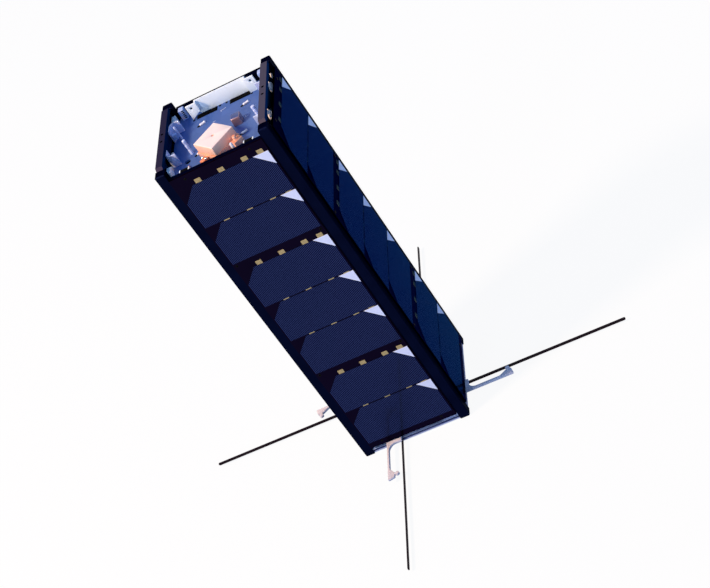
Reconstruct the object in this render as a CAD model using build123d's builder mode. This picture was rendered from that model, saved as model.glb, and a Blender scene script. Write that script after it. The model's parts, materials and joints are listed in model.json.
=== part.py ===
"""Three-unit cube satellite with body-mounted solar panels and a turnstile antenna.

It stands upright on its four rail feet.  The origin is on the ground plane, midway
between the feet.  +Z runs from the antenna end to the open payload end, and the front
side faces -Y.  All sizes are in millimetres.
"""
import os

from build123d import *

os.makedirs("parts", exist_ok=True)

# ---- Body and rails -----------------------------------------------------------------
body_width = 100.0  # across the rails, both ways
body_height = 340.5  # along the rails
rail_width = 8.5
rail_edge_round = 1.2  # outer long edge
rail_tip_chamfer = 0.8

half_width = body_width / 2
half_gap = half_width - rail_width  # half the clear width between two rails
rail_centre = half_width - rail_width / 2

# ---- Solar panels -------------------------------------------------------------------
panel_thickness = 1.6
panel_proud = 1.2  # panel face in front of the rail faces
panel_side_gap = 0.25  # between a panel and each rail
panel_bottom = 8.4
panel_top_inset = 7.1  # below the rail ends
panel_hole_radius = 1.1
panel_hole_inset = 12.65  # from the panel's side
panel_hole_rise = 3.7  # from the panel's top or bottom edge

panel_top = body_height - panel_top_inset
panel_height = panel_top - panel_bottom
panel_face = half_width + panel_proud
panel_seat = panel_face - panel_thickness
panel_half_width = half_gap - panel_side_gap

# ---- Solar cells, bypass diodes and tabs --------------------------------------------
cell_side_gap = 1.05  # between a cell and the panel's side
cell_thickness = 0.25
cell_crop_width = 13.6
cell_crop_height = 14.2
cell_gap = 1.1
cell_group_gap = 9.8
cell_top_inset = 11.2  # first cell below the panel's top edge
cell_bottom_inset = 6.3  # last cell above the panel's bottom edge
cell_group_counts = (2, 3, 2)  # from the payload end down
diode_gap = 0.3
tab_width = 6.8
tab_height = 4.7
tab_thickness = 0.12
tab_first = 19.0  # centre of the first tab from the left end of its cell
tab_pitch = 20.7  # between the first three tabs
tab_last = 5.8  # centre of the last tab from the right end of its cell

half_cell = panel_half_width - cell_side_gap
cell_count = sum(cell_group_counts)
group_gap_count = len(cell_group_counts) - 1
cell_gaps = (cell_count - 1 - group_gap_count) * cell_gap + group_gap_count * cell_group_gap
cell_height = (panel_height - cell_top_inset - cell_bottom_inset - cell_gaps) / cell_count

# ---- Side frames --------------------------------------------------------------------
crossbar_depth = 4.0
crossbar_height = 8.0
crossbar_rise = 6.8  # its middle above the first cell of each later group
top_bar_depth = 6.0
top_bar_recess = 1.2  # its outer face behind the rail faces
top_bar_height = 3.6
top_bar_rise = 1.7  # above the rail ends
top_bar_bevel = 2.2
top_bar_hole_radius = 1.25
top_bar_hole_spacing = 10.0
web_depth = 2.0
web_recess = 3.2  # its outer face behind the rail faces
web_foot = 5.4  # below the deck's top
window_rise = 2.1  # lower edge of each window above the deck's top
window_height = 7.0
corner_window_inset = 6.3  # its middle from the rail
# Distance of each window's middle from the rail, and its width, mirrored to both ends.
windows = ((corner_window_inset, 8.5), (22.5, 15.0))

top_bar_outer = half_width - top_bar_recess
top_bar_top = body_height + top_bar_rise
top_bar_middle = top_bar_outer - top_bar_depth / 2
web_outer = half_width - web_recess
web_inner = web_outer - web_depth
web_top = top_bar_top - top_bar_height

# ---- Ribs ---------------------------------------------------------------------------
rib_depth = 4.0
rib_height = 8.0

# ---- Payload deck -------------------------------------------------------------------
deck_drop = 14.1  # deck's top below the rail ends
deck_thickness = 1.6
deck_side_gap = 0.4
deck_hole_radius = 2.8
deck_hole_at = (-30.0, -23.5)
deck_slot_length = 19.0
deck_slot_width = 5.5
deck_slot_x = 15.2  # its middle from the middle of the deck, mirrored
deck_slot_inset = 12.0  # its middle from the deck's back edge
deck_screw_pitch = 40.0  # across the deck
deck_screw_inset = 25.2  # from the deck's front and back edges
screw_head_radius = 2.6
screw_head_height = 2.4
screw_socket_radius = 1.4
screw_socket_depth = 1.3
spacer_radius = 3.0
spacer_height = 8.8

deck_top = body_height - deck_drop
deck_bottom = deck_top - deck_thickness
deck_half_width = web_inner - deck_side_gap
deck_half_depth = panel_seat - rib_depth - deck_side_gap
deck_slot_y = deck_half_depth - deck_slot_inset
deck_screw_spacing = 2 * (deck_half_depth - deck_screw_inset)

# ---- Back wall of the bay -----------------------------------------------------------
wall_from_slot = 0.5  # between the slots and the wall's front face
wall_thickness = 1.5
wall_left_gap = 13.6  # between the left lug and the rail
wall_right_gap = 7.4  # between the right lug and the rail
wall_top_inset = 0.8  # below the rail ends
wall_foot_depth = 5.0
wall_lug_step = 4.0  # lugs stand this far in front of the wall
wall_lug_width = 7.6
wall_lug_cut = 4.4  # height of the slope that clears the left slot
wall_hole_radius = 1.2
wall_hole_rise = 10.0

wall_left = wall_left_gap + wall_lug_width - half_gap
wall_right = half_gap - wall_right_gap - wall_lug_width
wall_front = deck_slot_y + deck_slot_width / 2 + wall_from_slot
wall_top = body_height - wall_top_inset
lug_front = wall_front - wall_lug_step

# ---- Folded brackets, blocks, posts and parts on the deck ----------------------------
bracket_thickness = 1.2
bracket_bend = 5.0  # outer radius of the fold
bracket_height = 11.2
bracket_length = 11.5  # of the flange along the side
bracket_inset = 18.0  # tab's outer face from the rail
bracket_reach = 9.2  # tab's tip from the flange's outer face
block_length = 8.0
block_depth = 3.2
block_height = 7.2
lug_block_width = 7.0
lug_block_depth = 5.0
lug_block_height = 6.0
lug_block_side = 0.9  # bright side plate
# x, y, radius and height of each post on the deck.
posts = (
    (-37.4, 13.0, 0.9, 12.8),
    (-26.3, -14.6, 1.5, 14.2),
    (33.0, -4.0, 1.7, 9.6),
)
can_at = (15.8, -2.0)
can_size = (8.0, 8.0)
can_height = 7.4
can_chamfer = 0.6

# ---- Sensor head --------------------------------------------------------------------
sensor_size = 25.0
sensor_height = 8.4
sensor_edge_round = 0.8
sensor_inset = 20.7  # its middle from the deck's front edge
sensor_turn = 45.0
sensor_base_size = 26.4
sensor_base_height = 4.2
sensor_port_radius = 1.2
sensor_port_depth = 2.0
ear_width = 9.0
ear_reach = 7.0
ear_height = 5.0
ear_slide = 6.5  # from the middle of the sensor's right front side
ear_screw_radius = 1.5
ear_screw_height = 3.5

# ---- Inner stack --------------------------------------------------------------------
stack_gap = 0.3  # between the stack and the rails
stack_bottom = 18.0
stack_top = deck_bottom - spacer_height

# ---- Antenna module -----------------------------------------------------------------
module_recess = 0.5  # its side faces behind the rail faces
module_side_gap = 0.3
module_bottom = 1.8
module_ledge = 4.95  # top of the outer ledge, and floor of the arms' pockets
module_top = 8.2
module_ledge_depth = 2.4
module_edge_chamfer = 1.4  # lower outer edge
cover_thickness = 0.8
cover_inset = 2.0
cover_window_radius = 16.0

tape_line = 13.0  # distance of each tape from the middle of its side
tape_root_inset = 13.5  # tape's inner end from the module's side face
tape_length = 150.0  # outside the rails' faces
tape_thickness = 0.35
tape_bottom = 2.8
tape_height = 2.1
tape_gap = 0.4  # on each side of the tape and above it

arm_line = 25.7  # middle of the open lever from the middle of the side
arm_width = 2.0
arm_reach = 45.5  # outside the rails' faces
arm_height = 2.3
arm_gap = 0.3  # under an arm
arm_hub_radius = 3.0
arm_bore_radius = 1.05
arm_pin_clearance = 0.05
arm_pivot_inset = 4.0  # pin from the module's side face
arm_pivot_offset = 1.3  # pin from the lever's middle line
arm_root_length = 14.0  # along the side
arm_root_reach = 3.7  # outside the rails' faces
arm_root_round = 7.5
pocket_gap = 0.6  # round the closed arm
hook_length = 12.0
hook_height = 4.2
hook_slope = 1.2
hook_crest = 5.0
hook_round = 3.0
hook_nose_radius = 1.8
hook_nose_inset = 4.6  # its middle from the lever's tip
hook_neck_width = 1.6
hook_neck_length = 0.6

module_face = half_width - module_recess
module_half = half_gap - module_side_gap
module_floor = module_bottom + cover_thickness
arm_pivot_u = arm_pivot_offset - arm_line
arm_root_out = half_width + arm_root_reach
arm_pivot_out = module_face - arm_pivot_inset
arm_bottom = module_ledge + arm_gap
arm_tip = half_width + arm_reach
arm_outer_u = -arm_line - arm_width / 2
arm_inner_u = -arm_line + arm_width / 2
tape_root = module_face - tape_root_inset
tape_tip = half_width + tape_length

# Name of each side and its turn about +Z from the front, which faces -Y.
sides = (("front", 0), ("right", 90), ("back", 180), ("left", 270))


def side_plane(turn, distance):
    """Upright plane facing out of one side: local x runs along the side, local y is +Z."""
    outward = Vector(0, -1, 0).rotate(Axis.Z, turn)
    along = Vector(1, 0, 0).rotate(Axis.Z, turn)
    return Plane(origin=outward * distance, x_dir=along, z_dir=outward)


def level_plane(turn, height):
    """Level plane for one side: local x runs along the side, local -y points out of it."""
    along = Vector(1, 0, 0).rotate(Axis.Z, turn)
    return Plane(origin=(0, 0, height), x_dir=along, z_dir=(0, 0, 1))


def keep(piece, name):
    """Label a finished piece and write it."""
    piece.label = name
    export_step(piece, f"parts/{name}.step")


# ---- Cell rows: top edge of each cell, and whether it is the first of its group -----------
cell_tops = []
group_tops = []
next_top = panel_top - cell_top_inset
for count in cell_group_counts:
    group_tops.append(next_top)
    for index in range(count):
        cell_tops.append(next_top)
        next_top -= cell_height + cell_gap
    next_top -= cell_group_gap - cell_gap

crossbar_levels = [panel_bottom + crossbar_height / 2]
crossbar_levels += [top + crossbar_rise for top in group_tops[1:]]
panel_hole_u = panel_half_width - panel_hole_inset
panel_hole_pitch = panel_height - 2 * panel_hole_rise

# ---- Side frames: two rails joined by crossbars and the payload-end web -------------------
for name, turn in (("left", 270), ("right", 90)):
    x_sign = 1 if name == "right" else -1
    with BuildPart() as side_frame:
        for y_sign in (-1, 1):
            with BuildSketch():
                with Locations((x_sign * rail_centre, y_sign * rail_centre)):
                    Rectangle(rail_width, rail_width)
                outer_corner = Vector(x_sign * half_width, y_sign * half_width)
                fillet(vertices().sort_by_distance(outer_corner)[0], rail_edge_round)
            extrude(amount=body_height)
        chamfer(faces().filter_by(Axis.Z).edges(), rail_tip_chamfer)
        # Bars behind the panel
        with BuildSketch(side_plane(turn, panel_seat)):
            for level in crossbar_levels:
                with Locations((0, level)):
                    Rectangle(2 * half_gap, crossbar_height)
        extrude(amount=-crossbar_depth)
        # Land under the top of the panel
        with BuildSketch(side_plane(turn, panel_seat)):
            with Locations((0, deck_top - web_foot + crossbar_depth / 2)):
                Rectangle(2 * half_gap, crossbar_depth)
        extrude(amount=web_outer - panel_seat)
        # Windowed web under the top bar
        with BuildSketch(side_plane(turn, web_outer)):
            with Locations((0, (deck_top - web_foot + web_top) / 2)):
                Rectangle(2 * half_gap, web_top - deck_top + web_foot)
            for inset, width in windows:
                for end in (-1, 1):
                    window_centre = (end * (half_gap - inset), deck_top + window_rise + window_height / 2)
                    with Locations(window_centre):
                        SlotOverall(width, window_height, mode=Mode.SUBTRACT)
        extrude(amount=-web_depth)
        # Top bar with bevelled ends and two tapped holes
        with BuildSketch(side_plane(turn, top_bar_outer)):
            Polygon(
                (-half_gap, web_top),
                (half_gap, web_top),
                (half_gap, top_bar_top - top_bar_bevel),
                (half_gap - top_bar_bevel, top_bar_top),
                (top_bar_bevel - half_gap, top_bar_top),
                (-half_gap, top_bar_top - top_bar_bevel),
            )
        extrude(amount=-top_bar_depth)
        with Locations(Plane(origin=(x_sign * top_bar_middle, 0, top_bar_top))):
            with GridLocations(0, top_bar_hole_spacing, 1, 2):
                Hole(top_bar_hole_radius, top_bar_height)
    keep(side_frame.part, f"side_frame_{name}")

# ---- Ribs that join the side frames and carry the front and back panels -------------------
rib_levels = (("base", panel_bottom + rib_height / 2), ("top", panel_top - rib_height / 2))
for name, turn in (("front", 0), ("back", 180)):
    for level_name, level in rib_levels:
        with BuildPart() as rib:
            with BuildSketch(side_plane(turn, panel_seat)):
                with Locations((0, level)):
                    Rectangle(2 * half_gap, rib_height)
            extrude(amount=-rib_depth)
        keep(rib.part, f"rib_{level_name}_{name}")

# ---- Solar panels: board, cells, diodes and tabs ------------------------------------------
tab_stations = [tab_first - half_cell + index * tab_pitch for index in range(3)]
tab_stations.append(half_cell - tab_last)

for name, turn in sides:
    with BuildPart() as panel:
        with BuildSketch(side_plane(turn, panel_seat)):
            with Locations((0, panel_bottom + panel_height / 2)):
                Rectangle(2 * panel_half_width, panel_height)
                with GridLocations(2 * panel_hole_u, panel_hole_pitch, 2, 2):
                    Circle(panel_hole_radius, mode=Mode.SUBTRACT)
        extrude(amount=panel_thickness)
    keep(panel.part, f"panel_{name}")

    with BuildPart() as cells:
        with BuildSketch(side_plane(turn, panel_face)):
            for top in cell_tops:
                Polygon(
                    (-half_cell, top - cell_height),
                    (half_cell, top - cell_height),
                    (half_cell, top - cell_crop_height),
                    (half_cell - cell_crop_width, top),
                    (cell_crop_width - half_cell, top),
                    (-half_cell, top - cell_crop_height),
                )
        extrude(amount=cell_thickness)
    keep(cells.part, f"cells_{name}")

    with BuildPart() as diodes:
        with BuildSketch(side_plane(turn, panel_face)):
            for top in cell_tops:
                Polygon(
                    (half_cell, top),
                    (half_cell - cell_crop_width + 2 * diode_gap, top),
                    (half_cell, top - cell_crop_height + 2 * diode_gap),
                )
        extrude(amount=cell_thickness)
    keep(diodes.part, f"diodes_{name}")

    with BuildPart() as tabs:
        with BuildSketch(side_plane(turn, panel_face)):
            for top in cell_tops:
                height = tab_height if top in group_tops else cell_gap
                for station in tab_stations:
                    with Locations((station, top + height / 2)):
                        Rectangle(tab_width, height)
        extrude(amount=tab_thickness)
    keep(tabs.part, f"tabs_{name}")

# ---- Payload deck, its spacers and screws --------------------------------------------------
with BuildPart() as payload_deck:
    with BuildSketch(Plane.XY.offset(deck_bottom)):
        Rectangle(2 * deck_half_width, 2 * (half_gap - deck_side_gap))
        Rectangle(2 * (half_gap - deck_side_gap), 2 * deck_half_depth)
        with Locations(deck_hole_at):
            Circle(deck_hole_radius, mode=Mode.SUBTRACT)
        for x_sign in (-1, 1):
            with Locations((x_sign * deck_slot_x, deck_slot_y)):
                Rectangle(deck_slot_length, deck_slot_width, mode=Mode.SUBTRACT)
    extrude(amount=deck_thickness)
keep(payload_deck.part, "payload_deck")

with BuildPart() as deck_spacers:
    with BuildSketch(Plane.XY.offset(stack_top)):
        with GridLocations(deck_screw_pitch, deck_screw_spacing, 2, 2):
            RegularPolygon(spacer_radius, 6)
    extrude(amount=spacer_height)
keep(deck_spacers.part, "deck_spacers")

with BuildPart() as deck_screws:
    with BuildSketch(Plane.XY.offset(deck_top)):
        with GridLocations(deck_screw_pitch, deck_screw_spacing, 2, 2):
            Circle(screw_head_radius)
    extrude(amount=screw_head_height)
    with BuildSketch(Plane.XY.offset(deck_top + screw_head_height)):
        with GridLocations(deck_screw_pitch, deck_screw_spacing, 2, 2):
            RegularPolygon(screw_socket_radius, 6)
    extrude(amount=-screw_socket_depth, mode=Mode.SUBTRACT)
keep(deck_screws.part, "deck_screws")

# ---- Back wall: an upright sheet with a foot, and a lug stepped forward at each end ----------
wall_width = wall_right - wall_left
wall_middle = (wall_right + wall_left) / 2
with BuildPart() as bay_wall:
    with BuildSketch(Plane.XY.offset(deck_top)):
        with Locations((wall_middle, wall_front + wall_foot_depth / 2)):
            Rectangle(wall_width, wall_foot_depth)
    extrude(amount=wall_thickness)
    with BuildSketch(Plane.XY.offset(deck_top)):
        with Locations((wall_middle, wall_front + wall_thickness / 2)):
            Rectangle(wall_width, wall_thickness)
        with Locations((wall_middle, wall_front - wall_lug_step / 2)):
            with GridLocations(wall_width - wall_thickness, 0, 2, 1):
                Rectangle(wall_thickness, wall_lug_step)
        with Locations((wall_middle, lug_front + wall_thickness / 2)):
            with GridLocations(wall_width + wall_lug_width, 0, 2, 1):
                Rectangle(wall_lug_width, wall_thickness)
    extrude(amount=wall_top - deck_top)
    # Slope and fold cut away above the left slot, and a hole in each lug
    with BuildSketch(side_plane(0, -lug_front)):
        Polygon(
            (wall_left - wall_lug_width, deck_top),
            (wall_left + wall_thickness, deck_top),
            (wall_left + wall_thickness, deck_top + wall_lug_cut),
            (wall_left, deck_top + wall_lug_cut),
        )
        with Locations((wall_middle, deck_top + wall_hole_rise)):
            with GridLocations(wall_width + wall_lug_width, 0, 2, 1):
                Circle(wall_hole_radius)
    extrude(amount=-wall_lug_step, mode=Mode.SUBTRACT)
keep(bay_wall.part, "bay_wall")

# ---- Folded brackets: a flange on the web, a round fold, and a tab into the bay --------------
for name, x_sign in (("left", -1), ("right", 1)):
    with BuildPart() as brackets:
        for y_sign in (-1, 1):
            outer = Vector(x_sign * deck_half_width, y_sign * (half_gap - bracket_inset))
            flange_end = outer.Y - y_sign * bracket_length
            inner = outer - Vector(x_sign * bracket_thickness, y_sign * bracket_thickness)
            with BuildSketch(Plane.XY.offset(deck_top)):
                Polygon(
                    (outer.X, flange_end),
                    (outer.X, outer.Y),
                    (outer.X - x_sign * bracket_reach, outer.Y),
                    (outer.X - x_sign * bracket_reach, inner.Y),
                    (inner.X, inner.Y),
                    (inner.X, flange_end),
                )
                fillet(vertices().sort_by_distance(outer)[0], bracket_bend)
                fillet(vertices().sort_by_distance(inner)[0], bracket_bend - bracket_thickness)
            extrude(amount=bracket_height)
    keep(brackets.part, f"bay_brackets_{name}")

# ---- Tapped blocks that tie the deck to the web, seen through its outer windows --------------
with BuildPart() as deck_blocks:
    with BuildSketch(Plane.XY.offset(deck_top)):
        with GridLocations(2 * deck_half_width - block_depth, 2 * (half_gap - corner_window_inset), 2, 2):
            Rectangle(block_depth, block_length)
    extrude(amount=block_height)
keep(deck_blocks.part, "deck_blocks")

# ---- Panel lugs: dark blocks behind the front and back panels' upper screws, bright sides ----
lug_block_out = panel_seat - rib_depth - lug_block_depth / 2
with BuildPart() as panel_lugs:
    with BuildSketch(Plane.XY.offset(deck_top)):
        with Locations((0, -lug_block_out)):
            with GridLocations(2 * panel_hole_u, 0, 2, 1):
                Rectangle(lug_block_width, lug_block_depth)
    extrude(amount=lug_block_height)
keep(panel_lugs.part, "panel_lugs")

with BuildPart() as lug_plates:
    with BuildSketch(Plane.XY.offset(deck_top)):
        for x_sign in (-1, 1):
            with Locations((x_sign * panel_hole_u, -lug_block_out)):
                with GridLocations(lug_block_width + lug_block_side, 0, 2, 1):
                    Rectangle(lug_block_side, lug_block_depth)
    extrude(amount=lug_block_height)
keep(lug_plates.part, "lug_plates")

with BuildPart() as bay_posts:
    for x, y, radius, height in posts:
        with BuildSketch(Plane.XY.offset(deck_top)):
            with Locations((x, y)):
                Circle(radius)
        extrude(amount=height)
keep(bay_posts.part, "bay_posts")

with BuildPart() as filter_can:
    with BuildSketch(Plane.XY.offset(deck_top)):
        with Locations(can_at):
            Rectangle(*can_size)
    extrude(amount=can_height)
    chamfer(edges().group_by(Axis.Z)[-1] + edges().filter_by(Axis.Z), can_chamfer)
keep(filter_can.part, "filter_can")

# ---- Sensor head: base with a screwed ear, and the housing with its port ---------------------
sensor_plane = Plane(origin=(0, sensor_inset - deck_half_depth, deck_top)).rotated((0, 0, sensor_turn))
with BuildPart() as sensor_base:
    with BuildSketch(sensor_plane):
        Rectangle(sensor_base_size, sensor_base_size)
    extrude(amount=sensor_base_height)
    with BuildSketch(sensor_plane):
        with Locations((ear_slide, -(sensor_base_size + ear_reach) / 2)):
            Rectangle(ear_width, ear_reach)
    extrude(amount=ear_height)
    with BuildSketch(sensor_plane):
        with Locations((ear_slide, -(sensor_base_size + ear_reach) / 2)):
            Circle(ear_screw_radius)
    extrude(amount=ear_height + ear_screw_height)
keep(sensor_base.part, "sensor_base")

with BuildPart() as sensor_housing:
    with BuildSketch(sensor_plane.offset(sensor_base_height)):
        RectangleRounded(sensor_size, sensor_size, sensor_edge_round)
    extrude(amount=sensor_height)
    chamfer(faces().sort_by(Axis.Z)[-1].edges(), sensor_edge_round / 2)
    with Locations(sensor_plane.offset(sensor_base_height + sensor_height)):
        Hole(sensor_port_radius, sensor_port_depth)
keep(sensor_housing.part, "sensor_housing")

# ---- Avionics and battery stack, one plain block ---------------------------------------------
with BuildPart() as avionics_stack:
    with BuildSketch(Plane.XY.offset(stack_bottom)):
        Rectangle(2 * (half_gap - stack_gap), 2 * (half_gap - stack_gap))
    extrude(amount=stack_top - stack_bottom)
keep(avionics_stack.part, "avionics_stack")

# ---- Antenna module: housing with arm pockets, hinge pins and tape channels ------------------
closed_inner = arm_pivot_out + arm_pivot_offset - arm_width / 2  # closed lever's inner face
closed_tip = arm_pivot_u + arm_tip - arm_pivot_out
hook_nose = hook_height + hook_neck_length + hook_nose_radius  # middle of the nose above the lever
hook_reach = hook_nose + hook_nose_radius
root_end_u = arm_outer_u + arm_root_length
root_sweep = Vector(root_end_u - arm_pivot_u, arm_root_out - arm_pivot_out).length
channel_width = tape_thickness + 2 * tape_gap

with BuildPart() as antenna_housing:
    with BuildSketch(Plane.XY.offset(module_floor)):
        Rectangle(2 * module_half, 2 * module_face)
        Rectangle(2 * module_face, 2 * module_half)
    extrude(amount=module_ledge - module_floor)
    chamfer(faces().sort_by(Axis.Z)[0].outer_wire().edges(), module_edge_chamfer)
    with BuildSketch(Plane.XY.offset(module_ledge)):
        Rectangle(2 * module_half, 2 * (module_face - module_ledge_depth))
        Rectangle(2 * (module_face - module_ledge_depth), 2 * module_half)
    extrude(amount=module_top - module_ledge)
    for name, turn in sides:
        with BuildSketch(level_plane(turn, module_ledge)):
            # Round the hub and the root as they turn
            with Locations((arm_pivot_u, -arm_pivot_out)):
                Circle(root_sweep + pocket_gap)
            # Along the closed lever, and at its hook
            with Locations((arm_pivot_u, pocket_gap - closed_inner)):
                Rectangle(
                    closed_tip + pocket_gap - arm_pivot_u,
                    half_width - closed_inner + pocket_gap,
                    align=(Align.MIN, Align.MAX),
                )
            with Locations((closed_tip + pocket_gap, hook_reach + pocket_gap - closed_inner)):
                Rectangle(
                    hook_length + 2 * pocket_gap,
                    hook_reach + arm_width + pocket_gap,
                    align=(Align.MAX, Align.MAX),
                )
        extrude(amount=module_top - module_ledge, mode=Mode.SUBTRACT)
        with BuildSketch(level_plane(turn, module_ledge)):
            with Locations((arm_pivot_u, -arm_pivot_out)):
                Circle(arm_bore_radius - arm_pin_clearance)
        extrude(amount=module_top - module_ledge)
        with BuildSketch(level_plane(turn, module_floor)):
            with Locations((-tape_line, -tape_root)):
                Rectangle(channel_width, half_width - tape_root, align=(Align.CENTER, Align.MAX))
        extrude(amount=tape_bottom + tape_height + tape_gap - module_floor, mode=Mode.SUBTRACT)
keep(antenna_housing.part, "antenna_housing")

with BuildPart() as antenna_cover:
    with BuildSketch(Plane.XY.offset(module_bottom)):
        Rectangle(2 * (module_half - cover_inset), 2 * (module_face - cover_inset))
        Rectangle(2 * (module_face - cover_inset), 2 * (module_half - cover_inset))
        Circle(cover_window_radius, mode=Mode.SUBTRACT)
    extrude(amount=cover_thickness)
keep(antenna_cover.part, "antenna_cover")

# ---- Tape antennas and hooked hold-down arms -------------------------------------------------
for name, turn in sides:
    with BuildPart() as tape:
        with BuildSketch(level_plane(turn, tape_bottom)):
            with Locations((-tape_line, -tape_root)):
                Rectangle(tape_thickness, tape_tip - tape_root, align=(Align.CENTER, Align.MAX))
                Rectangle(channel_width, channel_width, align=(Align.CENTER, Align.MAX))
        extrude(amount=tape_height)
    keep(tape.part, f"antenna_{name}")

    with BuildPart() as arm:
        with BuildSketch(level_plane(turn, arm_bottom)):
            # Lever, from its root's inner end out to the tip and back
            Polygon(
                (arm_outer_u, arm_hub_radius - arm_pivot_out),
                (arm_outer_u, -arm_tip),
                (arm_inner_u, -arm_tip),
                (arm_inner_u, -arm_root_out),
                (root_end_u, -arm_root_out),
                (root_end_u, arm_hub_radius - arm_pivot_out),
            )
            fillet(vertices().sort_by_distance((arm_inner_u, -arm_root_out))[0], arm_root_round)
            # Hook, with a round run-out to the lever
            Polygon(
                (arm_inner_u, -arm_tip),
                (arm_inner_u + hook_height, hook_slope - arm_tip),
                (arm_inner_u + hook_height, hook_slope + hook_crest - arm_tip),
                (arm_inner_u, hook_length - arm_tip),
            )
            fillet(vertices().sort_by_distance((arm_inner_u, hook_length - arm_tip))[0], hook_round)
            # Nose of the hook, on a thin neck
            with Locations((arm_inner_u + hook_height, hook_nose_inset - arm_tip)):
                Rectangle(hook_neck_length + hook_nose_radius, hook_neck_width, align=(Align.MIN, Align.CENTER))
            with Locations((arm_inner_u + hook_nose, hook_nose_inset - arm_tip)):
                Circle(hook_nose_radius)
            with Locations((arm_pivot_u, -arm_pivot_out)):
                Circle(arm_bore_radius, mode=Mode.SUBTRACT)
        extrude(amount=arm_height)
    keep(arm.part, f"arm_{name}")
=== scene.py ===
# %% [markdown]
# # A cube satellite, dressed piece by piece
# The satellite is a slim box, 100 mm square and 340.5 mm tall.  Solar panels clad its four sides, a
# sensor looks out of its upper end, and four tape antennas and four hooked arms spread from its foot.
# The metalwork arrives as a fixed frame of exact solids.  This lesson gives each solid the finish of the
# real one, and adds the small things that a solid leaves out.

# %% Load the frame and note its box
import json
from math import radians

import bmesh
import bpy
import numpy as np
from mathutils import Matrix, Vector


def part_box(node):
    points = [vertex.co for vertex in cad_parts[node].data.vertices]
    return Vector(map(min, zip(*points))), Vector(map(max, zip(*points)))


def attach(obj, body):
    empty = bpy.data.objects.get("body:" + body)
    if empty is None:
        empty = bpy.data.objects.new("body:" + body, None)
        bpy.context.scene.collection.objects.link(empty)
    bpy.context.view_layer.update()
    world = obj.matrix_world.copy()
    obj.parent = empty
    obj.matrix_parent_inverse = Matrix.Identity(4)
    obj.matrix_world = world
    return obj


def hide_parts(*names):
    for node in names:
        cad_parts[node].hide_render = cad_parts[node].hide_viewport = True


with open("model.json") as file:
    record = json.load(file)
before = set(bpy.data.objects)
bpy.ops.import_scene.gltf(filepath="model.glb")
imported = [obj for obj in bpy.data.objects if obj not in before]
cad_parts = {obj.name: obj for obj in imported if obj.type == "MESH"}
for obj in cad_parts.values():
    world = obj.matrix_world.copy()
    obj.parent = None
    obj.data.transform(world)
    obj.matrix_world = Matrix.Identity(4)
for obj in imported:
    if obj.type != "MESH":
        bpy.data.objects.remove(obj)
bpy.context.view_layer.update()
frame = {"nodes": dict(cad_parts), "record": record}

BODY = "satellite"
SIDES = (("front", 0), ("right", 90), ("back", 180), ("left", 270))  # name, and turn about +Z
MM = 0.001  # one millimetre in metres

# %% [markdown]
# Everything below is worked out in millimetres, the unit on the satellite's drawings, and turned to
# metres only when a mesh is made.  The frame already knows where each solid lies, so places are read
# from its boxes.  A piece then still sits on its seat when a size in the frame changes.

# %% Places, read from the frame
def node_box(name):
    """Lowest and highest corner of a solid, in millimetres."""
    return np.array([list(corner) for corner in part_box(name)]) / MM


panel_low, panel_high = node_box("panel_front")
cells_high = node_box("cells_front")[1]
panel_face = -panel_low[1]  # distance of every panel's face from the middle of the satellite
half_panel = panel_high[0]
deck_top = node_box("payload_deck")[1, 2]
rail_top = node_box("side_frame_right")[1, 2]
print(f"panel face {panel_face:.2f}, deck top {deck_top:.2f}, cells {2 * cells_high[0]:.1f} wide")

# %% [markdown]
# Colours are easiest to choose as the hex codes that a screen shows.  Blender's shaders want linear
# light, so one function turns a code such as 1E2248 into three linear numbers.

# %% Colours
def colour(code):
    """Linear RGBA of an sRGB hex code: below 0.04045 a straight line, above it a power of 2.4."""
    srgb = np.array([int(code[i:i + 2], 16) for i in (0, 2, 4)]) / 255
    linear = np.where(srgb <= 0.04045, srgb / 12.92, ((srgb + 0.055) / 1.055) ** 2.4)
    return (*linear.tolist(), 1.0)


print("white is", colour("FFFFFF"))

# %% [markdown]
# A material is a small graph.  One helper adds a node, sets its values and joins its inputs, so that
# each material below reads as a list of what it is made of.  Pattern sizes come from real millimetres:
# a noise of scale S repeats about every 1/S metres.

# %% A node, with its settings and links
MIX_FACTOR, MIX_A, MIX_B, MIX_COLOUR = 0, 6, 7, 2  # sockets of the Mix node in its colour form


def output_of(source):
    """A socket as it is, or a node's main output: a Mix node's colour, and any other node's first."""
    if isinstance(source, bpy.types.NodeSocket):
        return source
    return source.outputs[MIX_COLOUR if source.bl_idname == "ShaderNodeMix" else 0]


def add(owner, kind, settings=None, links=None):
    """Add one node to a material or world.  settings sets attributes or inputs, links joins inputs."""
    node = owner.node_tree.nodes.new(kind)
    for key, value in (settings or {}).items():
        if isinstance(key, str) and hasattr(node, key):
            setattr(node, key, value)
        else:
            node.inputs[key].default_value = value
    for key, source in (links or {}).items():
        owner.node_tree.links.new(output_of(source), node.inputs[key])
    return node


def new_material(name, **uniform):
    """A node material, its shader with uniform values on its own inputs, and its coordinates."""
    material = bpy.data.materials.new(name)
    material.use_nodes = True
    shader = material.node_tree.nodes["Principled BSDF"]
    for key, value in uniform.items():
        shader.inputs[key.replace("_", " ")].default_value = value
    return material, shader, add(material, "ShaderNodeTexCoord").outputs


def join(node, **sources):
    """Join other nodes to a node's inputs.  An underscore stands for a space."""
    for key, source in sources.items():
        node.id_data.links.new(output_of(source), node.inputs[key.replace("_", " ")])


def per_metre(millimetres):
    """Repeats in one metre of a pattern with that spacing."""
    return 1 / (millimetres * MM)


finish = {}  # every material, by the record's slot or by the name of a trim
print("a cloud of 9 mm has a scale of", round(per_metre(9)))

# %% [markdown]
# No real surface has one flat tone: dye, coating and handling leave soft patches.  So most finishes
# below mix two close colours by a cloud of noise.

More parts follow.
